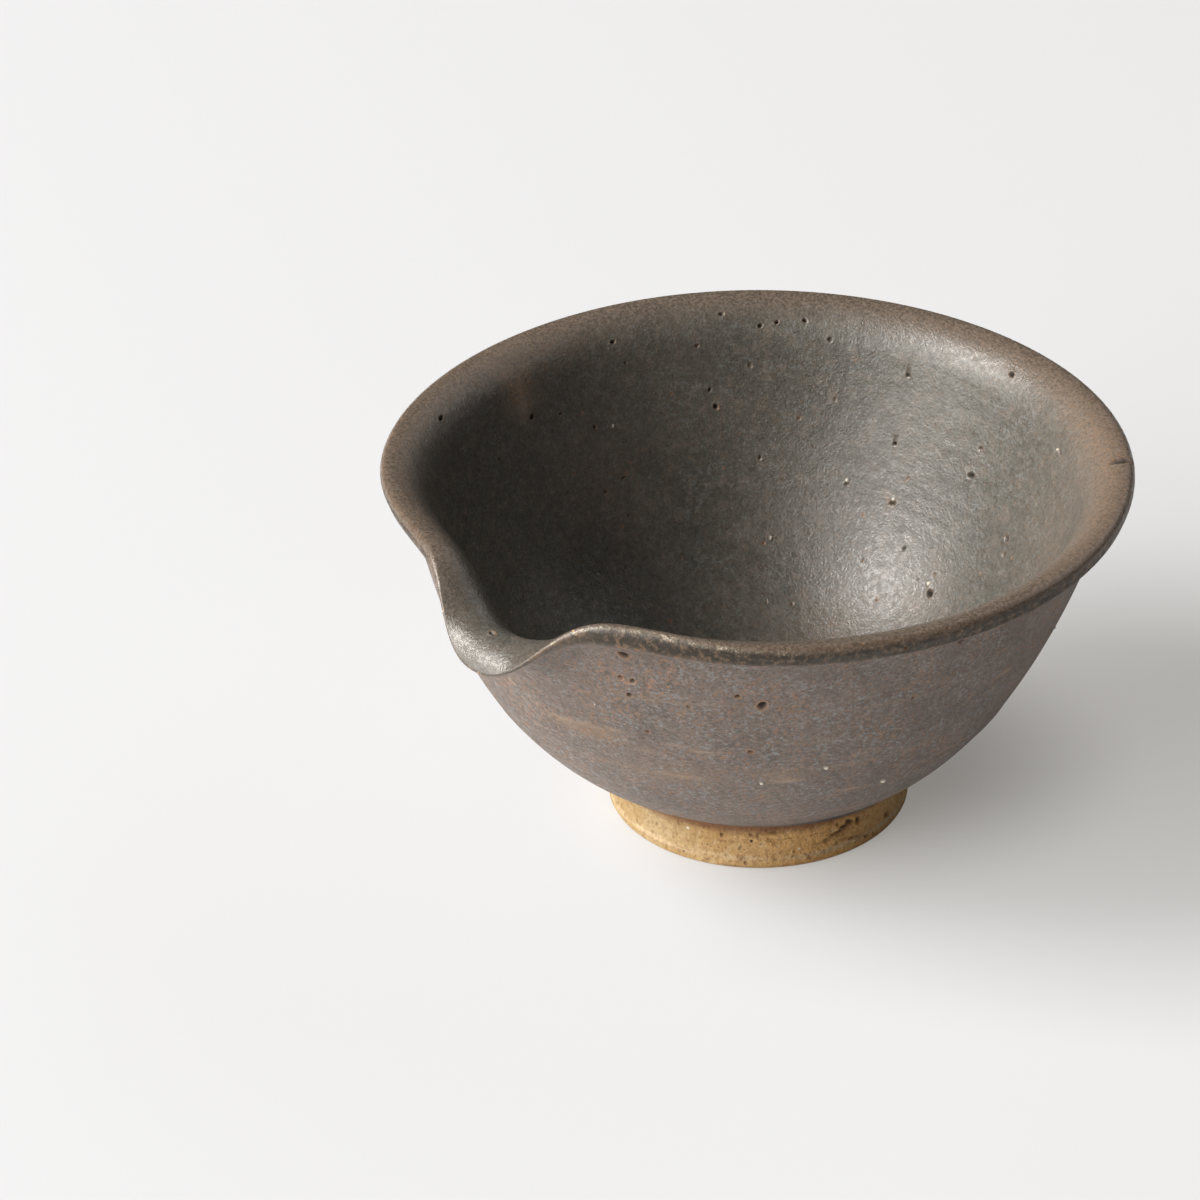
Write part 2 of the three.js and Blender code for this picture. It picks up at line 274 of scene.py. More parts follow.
# Where the glaze broke brown: angle, distance from the lip's crown (inside is
# negative), half width round the bowl, half height and strength.
BLUSHES = [
    (11, 28.8, 6.5, 1.5, 1.2), (47, 34.4, 3.2, 1.2, 1.2), (28, 35.0, 7.0, 3.0, 0.5),
    (131, -3.5, 20.0, 5.0, 0.8), (108, -2.5, 18.0, 4.0, 0.6), (136, -20.0, 12.0, 14.0, 0.4),
    (150, -4.0, 16.0, 4.0, 0.5), (112, -13.0, 8.0, 9.0, 0.35), (-60, -3.0, 18.0, 4.0, 0.4),
    (-88, -4.0, 16.0, 5.0, 0.45), (-87, -9.2, 3.4, 3.4, 1.6), (-168, -58.0, 12.0, 8.0, 0.45),
    (170, -47.0, 5.0, 4.0, 0.35), (-100, -28.0, 9.0, 9.0, 0.25), (60, -5.0, 20.0, 4.0, 0.45),
    (-150, -40.0, 9.0, 7.0, 0.2), (-25, -3.0, 14.0, 4.0, 0.35), (178, -3.0, 22.0, 3.0, 0.35),
]

# The wheel's axis lies behind the middle of the whole length.
AXIS_Y = cad_high.y / MM - RIM_RADIUS
ON_AXIS = 1e-4

rng = np.random.default_rng(7)


# Outline of the bowl.

def pair(radius, height):
    return np.array([radius, height], float)


def uphill(degrees):
    """Unit vector at an angle from upright, outwards."""
    angle = math.radians(degrees)
    return pair(math.sin(angle), math.cos(angle))


def evenly(points, steps):
    """Points at even distances along a fine line of points."""
    points = np.asarray(points)
    lengths = np.hypot(*np.diff(points, axis=0).T)
    along = np.concatenate([[0.0], np.cumsum(lengths)])
    stops = np.linspace(0.0, along[-1], steps + 1)
    return np.stack([np.interp(stops, along, points[:, k]) for k in (0, 1)], axis=1)


def curve(a, b, c, d, steps):
    """A cubic curve from a to d that leaves towards b and arrives from c."""
    t = np.linspace(0.0, 1.0, 200)[:, None]
    fine = (1 - t) ** 3 * a + 3 * (1 - t) ** 2 * t * b + 3 * (1 - t) * t ** 2 * c + t ** 3 * d
    return evenly(fine, steps)


def bow(a, b, c, steps):
    """A quadratic curve from a to c that bends towards b."""
    return curve(a, a + (b - a) * 2 / 3, c + (b - c) * 2 / 3, c, steps)


def chain(*stretches):
    """Joins stretches that share their end points."""
    return np.concatenate([stretches[0], *[s[1:] for s in stretches[1:]]])


def below(neck):
    """The point towards which the wall leaves the neck."""
    return neck - uphill(NECK_FLARE) * NECK_REACH


def inside_wall(steps):
    floor = pair(0, FLOOR_HEIGHT)
    neck = pair(NECK_RADIUS - WALL_THICKNESS, NECK_HEIGHT)
    return curve(floor, pair(FLOOR_REACH, FLOOR_HEIGHT), below(neck), neck, steps)


def arc(centre, radius, first, last, steps):
    """Points on a circle, from one angle in degrees to another."""
    turns = np.radians(np.linspace(first, last, steps + 1))
    return centre + radius * np.stack([np.cos(turns), np.sin(turns)], axis=1)


def undercut(arris, steps):
    """The hollow under the lip, from its lower edge back to the neck."""
    return bow(arris, pair(NECK_RADIUS + LIP_CHAMFER, arris[1] - LIP_CHAMFER),
               pair(NECK_RADIUS, NECK_HEIGHT), steps)


def mouth(end, direction, reach, steps):
    """The lip's upper side, from the neck inside to where it arrives in a direction."""
    inner = pair(NECK_RADIUS - WALL_THICKNESS, NECK_HEIGHT)
    return curve(inner, inner + uphill(NECK_FLARE) * MOUTH_REACH, end - direction * reach, end, steps)


def lip_line(steps):
    centre = pair(RIM_RADIUS - LIP_ROUNDING, BOWL_HEIGHT - LIP_ROUNDING)
    crown = arc(centre, LIP_ROUNDING, 90, -LIP_TILT, steps)
    face_end = crown[-1] - uphill(LIP_TILT) * LIP_FACE
    arris = face_end - pair(LIP_CHAMFER, LIP_CHAMFER)
    face = evenly([crown[-1], face_end], FACE_RINGS)
    edge = bow(face_end, face_end - uphill(LIP_TILT) * LIP_CHAMFER / 2, arris, ARRIS_RINGS)
    upper = mouth(crown[0], pair(1, 0), CROWN_REACH, steps)
    return chain(upper, crown, face, edge, undercut(arris, steps // 2))


def spout_lip_line(steps):
    """The lip at the middle of the spout, before it is bent: as many points as the plain lip."""
    centre = pair(RIM_RADIUS - EDGE_ROUNDING, BOWL_HEIGHT - EDGE_DROP - EDGE_ROUNDING)
    over = arc(centre, EDGE_ROUNDING, 90 - EDGE_FALL, 0, steps)
    back = arc(centre, EDGE_ROUNDING, 0, -EDGE_RETURN, FACE_RINGS + ARRIS_RINGS)
    rolled = mouth(over[0], uphill(90 + EDGE_FALL), EDGE_REACH, steps)
    return chain(rolled, over, back, undercut(back[-1], steps // 2))


def outside_wall(steps):
    neck = pair(NECK_RADIUS, NECK_HEIGHT)
    foot = pair(FOOT_RADIUS + FOOT_LEDGE, FOOT_HEIGHT)
    return curve(neck, below(neck), foot + uphill(FOOT_FLARE) * FOOT_REACH, foot, steps)


def glazed_line(wall_steps, lip_steps, lip=lip_line):
    """The glazed surface, from the middle of the floor over the lip to the glaze's end."""
    return chain(inside_wall(wall_steps), lip(lip_steps), outside_wall(wall_steps))


def into_clay(line):
    """Unit vectors that point from each point of a line on the surface into the clay."""
    along = np.gradient(line, axis=0)
    along /= np.linalg.norm(along, axis=1)[:, None]
    return np.stack([along[:, 1], -along[:, 0]], axis=1)


def measured_line():
    """The glazed line finely, the distances along it from the lip's crown, and the crown's number."""
    line = glazed_line(FINE_RINGS, FINE_LIP_RINGS)
    lengths = np.concatenate([[0.0], np.cumsum(np.hypot(*np.diff(line, axis=0).T))])
    crown = line[:, 1].argmax()
    return line, lengths - lengths[crown], crown


def on_surface(places):
    """Distance over the surface from the crown, inside below 0, depth, and the way into the clay."""
    line, lengths, _ = measured_line()
    way = into_clay(line)
    nearest = np.concatenate([np.linalg.norm(part[:, None] - line, axis=2).argmin(axis=1)
                              for part in np.array_split(places, len(places) // 5000 + 1)])
    before = np.clip(nearest - 1, 0, None)
    after = np.clip(nearest + 1, None, len(line) - 1)
    step = line[after] - line[before]
    offset = places - line[nearest]
    along = lengths[nearest] + (offset * step).sum(axis=1) / np.linalg.norm(step, axis=1)
    depth = (offset * way[nearest]).sum(axis=1)
    return along, depth, way[nearest]


def along_at(height, inside):
    """Distance from the lip's crown at a height on the inside or on the outside."""
    line, lengths, crown = measured_line()
    part = slice(crown, None, -1) if inside else slice(crown, None)
    return float(np.interp(-height, -line[part, 1], lengths[part]))


def hidden_line(steps):
    """The back of the glaze: under the bowl's inside, past the lip and down the outside."""
    inside, outside = inside_wall(steps), outside_wall(steps)
    inside = inside + into_clay(inside) * HIDDEN_DEPTH
    inside[0] = pair(0, FLOOR_HEIGHT - HIDDEN_DEPTH)
    depths = np.full(len(outside), HIDDEN_DEPTH)
    depths[-1] = GLAZE_EDGE
    outside = outside + into_clay(outside) * depths[:, None]
    lip = pair(RIM_RADIUS - HIDDEN_LIP_DEPTH, BOWL_HEIGHT - HIDDEN_LIP_DEPTH)
    return np.concatenate([inside, [lip], outside])


def foot_line():
    """Foot ring and recess, from under the glaze to the axis."""
    inner = FOOT_RADIUS - FOOT_RING_WIDTH
    corner = pair(inner - RECESS_TAPER, RECESS_DEPTH)
    side = evenly([pair(FOOT_RADIUS + FOOT_TAPER, FOOT_HEIGHT - FOOT_TAPER),
                   pair(FOOT_RADIUS, FOOT_CHAMFER)], FOOT_SIDE_RINGS)
    outer_edge = bow(side[-1], pair(FOOT_RADIUS, 0), pair(FOOT_RADIUS - FOOT_CHAMFER, 0), FOOT_EDGE_RINGS)
    base = evenly([outer_edge[-1], pair(inner + FOOT_CHAMFER, 0)], FOOT_BASE_RINGS)
    inner_edge = bow(base[-1], pair(inner, 0), pair(inner, FOOT_CHAMFER), FOOT_EDGE_RINGS)
    fillet_start = corner + pair(RECESS_TAPER * RECESS_FILLET / RECESS_DEPTH, -RECESS_FILLET)
    inner_side = evenly([inner_edge[-1], fillet_start], RECESS_SIDE_RINGS)
    fillet = bow(fillet_start, corner, corner - pair(RECESS_FILLET, 0), FILLET_RINGS)
    ceiling = evenly([fillet[-1], pair(0, RECESS_DEPTH)], RECESS_RINGS)
    return chain(side, outer_edge, base, inner_edge, inner_side, fillet, ceiling)


# Spout and hand.

UP_WALL = uphill(NECK_FLARE)
OUT_OF_WALL = pair(UP_WALL[1], -UP_WALL[0])
RIM_MIDDLE = pair(RIM_RADIUS - WALL_THICKNESS / 2, BOWL_HEIGHT)


def bell(distance, width):
    """1 at no distance, falling smoothly to 0."""
    return np.exp(-(distance / width) ** 2)


def waves(angle, parts):
    """A sum of waves round the bowl, each by its count, height and phase."""
    return sum(high * np.sin(count * angle + phase) for count, high, phase in parts)


def spout_share(angle):
    return np.exp(-(np.abs(angle) / SPOUT_HALF_WIDTH) ** SPOUT_SQUARENESS)


def edge_share(angle):
    return np.exp(-(np.abs(angle) / EDGE_HALF_WIDTH) ** EDGE_SQUARENESS)


def flank_share(angle):
    return bell(np.abs(angle) - FLANK_OFFSET, FLANK_HALF_WIDTH)


def follow_wall(places, angle):
    """Moves points (radius, height) at these angles with the wall, where the spout draws it."""
    spout, flank = spout_share(angle), flank_share(angle)
    start = RIM_MIDDLE - UP_WALL * SPOUT_START
    side = np.tanh(angle / SPOUT_HALF_WIDTH)
    pinch = (FLANK_PINCH + FLANK_PINCH_TURN * side) * flank
    end = RIM_MIDDLE + np.stack([SPOUT_REACH * spout - pinch, -SPOUT_DROP * spout], axis=1)
    flank_tilt = FLANK_TILT + FLANK_TURN * side
    lean_out = np.radians(NECK_FLARE + SPOUT_TILT * spout - flank_tilt * flank)
    tip = np.stack([np.sin(lean_out), np.cos(lean_out)], axis=1)
    hold = SPOUT_START / 3
    b = start + UP_WALL * hold
    c = end - tip * hold
    offset = places - RIM_MIDDLE
    height = SPOUT_START + offset @ UP_WALL
    share = np.clip(height / SPOUT_START, 0, 1)[:, None]
    rest = 1 - share
    line = rest ** 3 * start + 3 * rest ** 2 * share * b + 3 * rest * share ** 2 * c + share ** 3 * end
    along = rest ** 2 * (b - start) + 2 * rest * share * (c - b) + share ** 2 * (end - c)
    along /= np.linalg.norm(along, axis=1)[:, None]
    across = np.stack([along[:, 1], -along[:, 0]], axis=1)
    beyond = np.clip(height - SPOUT_START, 0, None)[:, None]
    moved = line + along * beyond + across * (offset @ OUT_OF_WALL)[:, None]
    return np.where((height > 0)[:, None], moved, places)


def share_up(height):
    """How far up the wall a height lies: 0 at the foot, 1 at the rim."""
    return np.clip((height - FOOT_HEIGHT) / (BOWL_HEIGHT - FOOT_HEIGHT), 0, 1)


def lean(height, angle):
    """How far the belly leans towards the spout: most at a third of the way up."""
    rise = share_up(height)
    # Of rise * (1 - rise) ** 2 the most is 4 / 27.
    return BELLY_LEAN * 27 / 4 * rise * (1 - rise) ** 2 * np.cos(angle)


def hand_wobble(radius, height, angle):
    """The slight unevenness of a bowl thrown by hand, outwards and upwards."""
    up = share_up(height)
    wide = np.clip(radius / RIM_RADIUS, 0, 1)
    away = 1 - spout_share(angle / 3)
    return waves(angle, OUT_OF_ROUND) * up * wide * away, waves(angle, RIM_WAVES) * up ** 3 * away


def wheel_marks(places, angle):
    """The arris, the wandering line on which the glaze ends, and the foot's spread to one side."""
    radius, height = places[:, 0], places[:, 1]
    side = ARRIS_LEAST + (1 - ARRIS_LEAST) * bell(np.abs(angle) - ARRIS_SIDE, ARRIS_SPAN)
    arris = ARRIS_RISE * side * np.exp(-np.abs(height - ARRIS_HEIGHT) / ARRIS_WIDTH)
    outer = radius > bowl_radius_inside(height) + WALL_THICKNESS / 2
    hem = pair(FOOT_RADIUS + FOOT_LEDGE, FOOT_HEIGHT)
    near = np.clip(1 - np.linalg.norm(places - hem, axis=1) / HEM_REACH, 0, 1)
    wander = HEM_WANDER * waves(angle, HEM_WAVES)
    moved = places + uphill(FOOT_FLARE) * (wander * near * near * (3 - 2 * near))[:, None]
    moved[:, 0] += np.where(outer, arris, 0)
    front = bell(angle - SPREAD_ANGLE, SPREAD_SPAN) * np.clip(radius / FOOT_RADIUS, 0, 1)
    low = np.clip(height / FOOT_HEIGHT, 0, 1)
    above = np.clip(height - FOOT_HEIGHT, 0, None)
    moved[:, 0] += FOOT_SPREAD * front * (1 - low)
    moved[:, 1] += HEM_RISE * front * low ** 2 * np.exp(-above / HEM_RISE_REACH)
    return moved


def draw_edge(places, angle):
    """Draws the lip out thin towards the middle of the spout."""
    along, depth, _ = on_surface(places)
    line, lengths, _ = measured_line()
    drawn = glazed_line(FINE_RINGS, FINE_LIP_RINGS, spout_lip_line) - line
    shift = np.stack([np.interp(along, lengths, drawn[:, k]) for k in (0, 1)], axis=1)
    share = edge_share(angle) * (depth < HIDDEN_DEPTH / 2)
    return places + shift * share[:, None]


def bowl_radius_inside(height):
    line = inside_wall(60)
    return np.interp(height, line[:, 1], line[:, 0])


def read_spots(items, key):
    """Where points or faces of a turned body lie on its section, in millimetres, and round the bowl."""
    spots = np.empty(len(items) * 3)
    items.foreach_get(key, spots)
    spots = spots.reshape(-1, 3) / MM
    places = np.stack([np.hypot(spots[:, 0], spots[:, 1]), spots[:, 2]], axis=1)
    even = np.arctan2(spots[:, 0], -spots[:, 1])
    return places, even - SPOUT_CROWDING * np.sin(even)


def shape_bowl(thing, places, angle):
    """Gives a turned body its spout, lean and unevenness, and sets it on the wheel's axis."""
    moved = follow_wall(draw_edge(wheel_marks(places, angle), angle), angle)
    out, rise = hand_wobble(places[:, 0], places[:, 1], angle)
    turned = places[:, 0] > ON_AXIS
    wide = np.where(turned, moved[:, 0] + lean(places[:, 1], angle) + out, 0.0)
    on_axis = np.where(turned, 0.0, -lean(places[:, 1], 0.0))
    back = -wide * np.cos(angle) + on_axis + AXIS_Y
    spots = np.stack([wide * np.sin(angle), back, moved[:, 1] + rise], axis=1)
    thing.data.vertices.foreach_set("co", (spots * MM).ravel())
    thing.data.update()


# Turning.

def deselect_all():
    bpy.ops.object.select_all(action="DESELECT")


def turn_body(name, line):
    """Draws a section point by point, spins it about the wheel's axis and closes it."""
    deselect_all()
    bpy.ops.mesh.primitive_plane_add(size=MM)
    thing = bpy.context.object
    thing.name = name
    thing.data.name = name
    bpy.ops.object.mode_set(mode="EDIT")
    bpy.ops.mesh.select_mode(type="VERT")
    bpy.ops.mesh.select_all(action="SELECT")
    bpy.ops.mesh.merge(type="CENTER")
    points = [Vector((0, -radius * MM, height * MM)) for radius, height in line]
    bpy.ops.transform.translate(value=points[0])
    for here, there in zip(points, points[1:]):
        bpy.ops.mesh.extrude_region_move(TRANSFORM_OT_translate={"value": there - here})
    bpy.ops.mesh.select_all(action="SELECT")
    bpy.ops.mesh.spin(steps=TURNS, angle=2 * math.pi, center=(0, 0, 0), axis=(0, 0, 1))
    bpy.ops.mesh.select_all(action="SELECT")
    bpy.ops.mesh.remove_doubles(threshold=MM / 1000)
    bpy.ops.mesh.normals_make_consistent(inside=False)
    bpy.ops.object.mode_set(mode="OBJECT")
    bpy.ops.object.shade_smooth()
    return thing


def give_attributes(thing, marks):
    """Numbers at every point, for the material to read."""
    for name, values in marks.items():
        layer = thing.data.attributes.new(name, "FLOAT", "POINT")
        layer.data.foreach_set("value", np.asarray(values, np.float32))


def placed(marks, inside):
    """Marks given by angle in degrees and height, by angle in radians and distance from the crown."""
    return [(math.radians(angle), along_at(height, inside), *rest) for angle, height, *rest in marks]


def all_pits():
    """Every pit as angle in radians, distance from the crown, both widths, depth, rust and turn."""
    pits = []
    for inside, group, rusty in ((False, OUTSIDE_PITS, OUTSIDE_RUST), (True, INSIDE_PITS, INSIDE_RUST)):
        pits += [(*pit, rng.uniform(*rusty)) for pit in placed(group, inside)]
    for number in range(SMALL_PITS):
        inside = number % 3 != 0
        along = rng.uniform(*(SMALL_PITS_INSIDE if inside else SMALL_PITS_OUTSIDE))
        size = rng.uniform(0.8, 1.4)
        rust = rng.uniform(0.1, 0.6)
        angle = rng.uniform(-math.pi, math.pi)
        width = SMALL_PIT_WIDTH * size
        pits.append((angle, along, width, width, SMALL_PIT_DEPTH * size, rust))
    return [(*pit, rng.uniform(0, 2 * math.pi)) for pit in pits]


def all_grains():
    return placed(OUTSIDE_GRAINS, False) + placed(INSIDE_GRAINS, True)


def gaps_to(mark_angle, mark_along, angle, along, radius):
    """How far points lie from a place on the surface, round the bowl and down its section."""
    across = (angle - mark_angle + math.pi) % (2 * math.pi) - math.pi
    return across * radius, along - mark_along


def cut_finely(thing, chosen, cuts):
    """Cuts the chosen faces into smaller ones."""
    bpy.ops.object.mode_set(mode="EDIT")
    bpy.ops.mesh.select_mode(type="FACE")
    bpy.ops.mesh.select_all(action="DESELECT")
    bpy.ops.object.mode_set(mode="OBJECT")
    thing.data.polygons.foreach_set("select", chosen)
    bpy.ops.object.mode_set(mode="EDIT")
    bpy.ops.mesh.subdivide(number_cuts=cuts)
    bpy.ops.object.mode_set(mode="OBJECT")


def near_marks(pits, places, angle):
    """Which faces of the glaze lie on a pit, stroke or grain or just around it, to be cut finely."""
    along, depth, _ = on_surface(places)
    near = [(*pit[:2], pit[2] * 0.85 + 0.45, pit[3] * 0.85 + 0.75) for pit in pits]
    near += [(*stroke[:2], stroke[2] + 0.5, stroke[3] * 1.5 + 0.5) for stroke in placed(STROKES, False)]
    near += [(*grain[:2], grain[2] + 0.4, grain[3] + 0.7) for grain in all_grains()]
    chosen = np.zeros(len(places), bool)
    for mark_angle, mark_along, wide, tall in near:
        across, down = gaps_to(mark_angle, mark_along, angle, along, places[:, 0])
        chosen |= (np.abs(across) < wide) & (np.abs(down) < tall)
    return chosen & (depth < HIDDEN_DEPTH / 2)


def pit_shapes(pits, angle, along, radius):
    """How deep the pits reach at each point, how dark the painted shade in their holes is, and how rusty
    they leave it.
    """
    pressed = np.zeros(len(angle))
    hole = np.zeros(len(angle))
    edge = np.zeros(len(angle))
    rim_at, rim_width, rim_rise = PIT_RIM
    rust_at, rust_width = PIT_RUST
    for pit_angle, pit_along, width, tall, deep, rust, turn in pits:
        across, down = gaps_to(pit_angle, pit_along, angle, along, radius)
        across, down = across * 2 / width, down * 2 / tall
        bearing = np.arctan2(down, across) + turn
        ragged = 1 + waves(bearing, [(2, 0.14, 0), (3, 0.05, turn), (5, 0.05, 0)])
        reach = np.hypot(across, down) * ragged
        inner = np.exp(-reach ** 4)
        pressed += deep * (inner - rim_rise * bell(reach - rim_at, rim_width))
        # Deeper pits are darker: painted shade in their holes.
        dark = min(1, max(0, (deep - PIT_SHADE_FROM) / PIT_SHADE_OVER))
        hole = np.maximum(hole, inner * dark)
        edge = np.maximum(edge, bell(reach - rust_at, rust_width) * rust)
        edge = np.maximum(edge, inner * rust * (1 - dark))
    return pressed, hole, edge


def soft_spot(mark, angle, along, radius):
    """How strongly a mark of this angle, place, half width, half height and strength shows."""
    mark_angle, mark_along, wide, tall, strength = mark
    across, down = gaps_to(mark_angle, mark_along, angle, along, radius)
    return strength * np.exp(-(across / wide) ** 2 - (down / tall) ** 2)


def press_glaze(thing, pits):
    """Presses the pits, the lump and the hem into the glaze, and marks what the material has to know."""
    places, angle = read_spots(thing.data.vertices, "co")
    along, depth, way = on_surface(places)
    radius = np.maximum(places[:, 0], 1)
    pressed, hole, edge = pit_shapes(pits, angle, along, radius)

    (lump_angle, lump_along, lump_width, lump_rise), = placed([LUMP], True)
    across, down = gaps_to(lump_angle, lump_along, angle, along, radius)
    lump = bell(np.hypot(across, down), lump_width / 2)
    from_end = along - along_at(FOOT_HEIGHT, False)
    hem_side = bell(angle - HEM_DARK_ANGLE, HEM_DARK_SPAN)
    roll = bell(from_end + HEM_WIDTH, HEM_WIDTH * 0.7)
    grain = np.zeros(len(places))
    for grain_angle, grain_along, width, tall in all_grains():
        across, down = gaps_to(grain_angle, grain_along, angle, along, radius)
        grain = np.maximum(grain, np.exp(-np.hypot(across * 2 / width, down * 2 / tall) ** 4))
    pressed -= lump_rise * lump + (HEM_ROLL + HEM_SIDE_ROLL * hem_side) * roll + GRAIN_RISE * grain

    # The lump's pale pink, partly painted light on the shaded wall.
    stroke = LUMP_PALE_AND_LIT * lump
    for mark in placed(STROKES, False):
        stroke = np.maximum(stroke, soft_spot(mark, angle, along, radius))
    blushes = [(math.radians(degrees), *rest) for degrees, *rest in BLUSHES]
    give_attributes(thing, {
        "from_lip": along,
        "thin": edge_share(angle),
        # Where the crest's pale crystals and painted highlight are strongest.
        "wear_and_glint": bell(angle - CREST_ANGLE, CREST_SPAN),
        # Dark thick glaze and painted shadow under the roll at the glaze's end.
        "hem": bell(from_end, HEM_DARK_WIDTH) * hem_side,
        "hole": hole,
        "edge": edge,
        "grain": grain,
        "stroke": stroke,
        "blush": sum(soft_spot(mark, angle, along, radius) for mark in blushes),
    })
    face = depth < HIDDEN_DEPTH / 2
    return np.where(face[:, None], places + way * pressed[:, None], places), angle


def foot_pits():
    """Every pit of the foot as angle in radians, height, both widths, depth, rust and turn."""
    pits = [(math.radians(angle), *rest, rng.uniform(0.3, 0.8), rng.uniform(0, 6.28))
            for angle, *rest in FOOT_PITS]
    for _ in range(SMALL_FOOT_PITS):
        width = rng.uniform(0.25, 0.6)
        tall = width * rng.uniform(0.5, 0.9)
        pits.append((rng.uniform(-math.pi, math.pi), rng.uniform(*SMALL_FOOT_PIT_HEIGHTS), width, tall,
                     rng.uniform(0.05, 0.28), rng.uniform(0.2, 0.9), rng.uniform(0, 6.28)))
    return pits


def on_foot(places):
    """What lies on the outer side of the foot ring, between the glaze and the ground."""
    radius, height = places[:, 0], places[:, 1]
    outer = radius > FOOT_RADIUS - FOOT_CHAMFER
    return outer & (height > FOOT_CHAMFER / 4) & (height < FOOT_HEIGHT - FOOT_TAPER)


def press_foot(thing, pits):
    """Roughens the clay of the foot, presses its pits in and marks them for the material."""
    places, angle = read_spots(thing.data.vertices, "co")
    side = on_foot(places)
    height = places[:, 1]
    pressed, hole, edge = pit_shapes(pits, angle, height, np.maximum(places[:, 0], 1))
    rough = np.zeros(len(places))
    for point in np.flatnonzero(side):
        spot = Vector((math.sin(angle[point]), math.cos(angle[point]), 0)) * FOOT_RADIUS
        spot = (spot + Vector((0, 0, height[point]))) / FOOT_GRAIN
        rough[point] = noise.noise(spot) + FOOT_FINE_SHARE * noise.noise(spot * FOOT_FINENESS)
    from_end = np.minimum(height, FOOT_HEIGHT - height)
    fade = side * np.clip((from_end - FOOT_FADE_FROM) / FOOT_FADE_OVER, 0, 1)
    moved = places.copy()
    moved[:, 0] += (FOOT_ROUGHNESS * rough - pressed) * fade
    # Painted warm light on the foot's shaded side.
    painted_warm_light = bell(angle - WARM_LIGHT_ANGLE, WARM_LIGHT_SPAN)
    give_attributes(thing, {"hole": hole * side, "edge": edge * side, "painted_warm_light": painted_warm_light})
    return moved, angle


# Materials.

def add_node(tree, kind, inputs=None, **settings):
    made = tree.nodes.new(kind)
    for key, value in settings.items():
        setattr(made, key, value)
    for key, value in (inputs or {}).items():
        if isinstance(value, bpy.types.NodeSocket):
            tree.links.new(value, made.inputs[key])
        else:
            made.inputs[key].default_value = value
    return made


def colour_mix(tree, factor, first, second):
    made = add_node(tree, "ShaderNodeMix", {0: factor, 6: first, 7: second}, data_type="RGBA")
    return made.outputs[2]


def coats(tree, colour, *layers):
    """Lays paints over a colour, one after another, each as strongly as its factor says."""
    for factor, paint in layers:
        colour = colour_mix(tree, factor, colour, paint)
    return colour


def arithmetic(tree, operation, first, second=0.0):
    made = add_node(tree, "ShaderNodeMath", {0: first, 1: second}, operation=operation)
    return made.outputs[0]


def less(tree, value):
    """What is left of 1."""
    return arithmetic(tree, "SUBTRACT", 1.0, value)


def product(tree, first, *others):
    for other in others:
        first = arithmetic(tree, "MULTIPLY", first, other)
    return first


def total(tree, first, *others):
    for other in others:
        first = arithmetic(tree, "ADD", first, other)
    return first


def span(tree, value, low, high, to_low=0.0, to_high=1.0):
    """Maps low..high of a value smoothly to to_low..to_high, held at both ends."""
    inputs = {"Value": value, "From Min": low, "From Max": high, "To Min": to_low, "To Max": to_high}
    made = add_node(tree, "ShaderNodeMapRange", inputs, interpolation_type="SMOOTHSTEP")
    return made.outputs["Result"]


def band(tree, value, middle, half_width):
    """1 at a value, falling to 0 on both sides of it."""
    away = arithmetic(tree, "ABSOLUTE", arithmetic(tree, "SUBTRACT", value, middle))
    return span(tree, away, half_width, half_width * 0.1)


def noise_at(tree, where, scale, detail, roughness, distortion=0.0):
    made = add_node(tree, "ShaderNodeTexNoise",
                    {"Vector": where, "Scale": scale, "Detail": detail, "Roughness": roughness,
                     "Distortion": distortion})
    return made.outputs["Fac"]


def clots(tree, where, scale, detail, roughness, low, high, least=0.0, most=1.0, distortion=0.0):
    """Noise as clots: least where it is below low, most where it is above high."""
    return span(tree, noise_at(tree, where, scale, detail, roughness, distortion), low, high, least, most)


def cells_at(tree, where, scale):
    """A cell pattern: the distance from the middle of each cell, and three chances for each."""
    cells = add_node(tree, "ShaderNodeTexVoronoi", {"Vector": where, "Scale": scale, "Randomness": 1.0})
    chances = add_node(tree, "ShaderNodeSeparateColor", {0: cells.outputs["Color"]}).outputs
    return cells.outputs["Distance"], chances


def dots_at(tree, where, scale, share, size):
    """Round dots, one in some cells of a cell pattern."""
    distance, chances = cells_at(tree, where, scale)
    some = span(tree, chances[0], 1 - share, 1.01 - share)
    return product(tree, span(tree, distance, size, size * 0.55), some)


def attribute(tree, name):
    return add_node(tree, "ShaderNodeAttribute", attribute_name=name).outputs["Fac"]


def stretched(tree, where, scale):
    return add_node(tree, "ShaderNodeMapping", {"Vector": where, "Scale": scale}).outputs["Vector"]


def relief(tree, *layers):
    """Bumps laid over one another, each by its height, strength and distance in metres."""
    normal = None
    for height, strength, distance in layers:
        inputs = {"Height": height, "Strength": strength, "Distance": distance}
        if normal is not None:
            inputs["Normal"] = normal
        normal = add_node(tree, "ShaderNodeBump", inputs).outputs["Normal"]
    return normal


def new_material(name):
    material = bpy.data.materials.new(name)
    material.use_nodes = True
    tree = material.node_tree
    where = add_node(tree, "ShaderNodeTexCoord").outputs["Object"]
    return material, tree, tree.nodes["Principled BSDF"], where


INSIDE_DARK = (0.064, 0.062, 0.053, 1)
INSIDE_LIGHT = (0.132, 0.123, 0.104, 1)
SPOUT_GREY = (0.066, 0.069, 0.064, 1)
OUTSIDE_DARK = (0.096, 0.077, 0.069, 1)
OUTSIDE_LIGHT = (0.206, 0.163, 0.142, 1)
LIP_DARK = (0.04, 0.03, 0.02, 1)
LIP_BROWN = (0.196, 0.15, 0.116, 1)
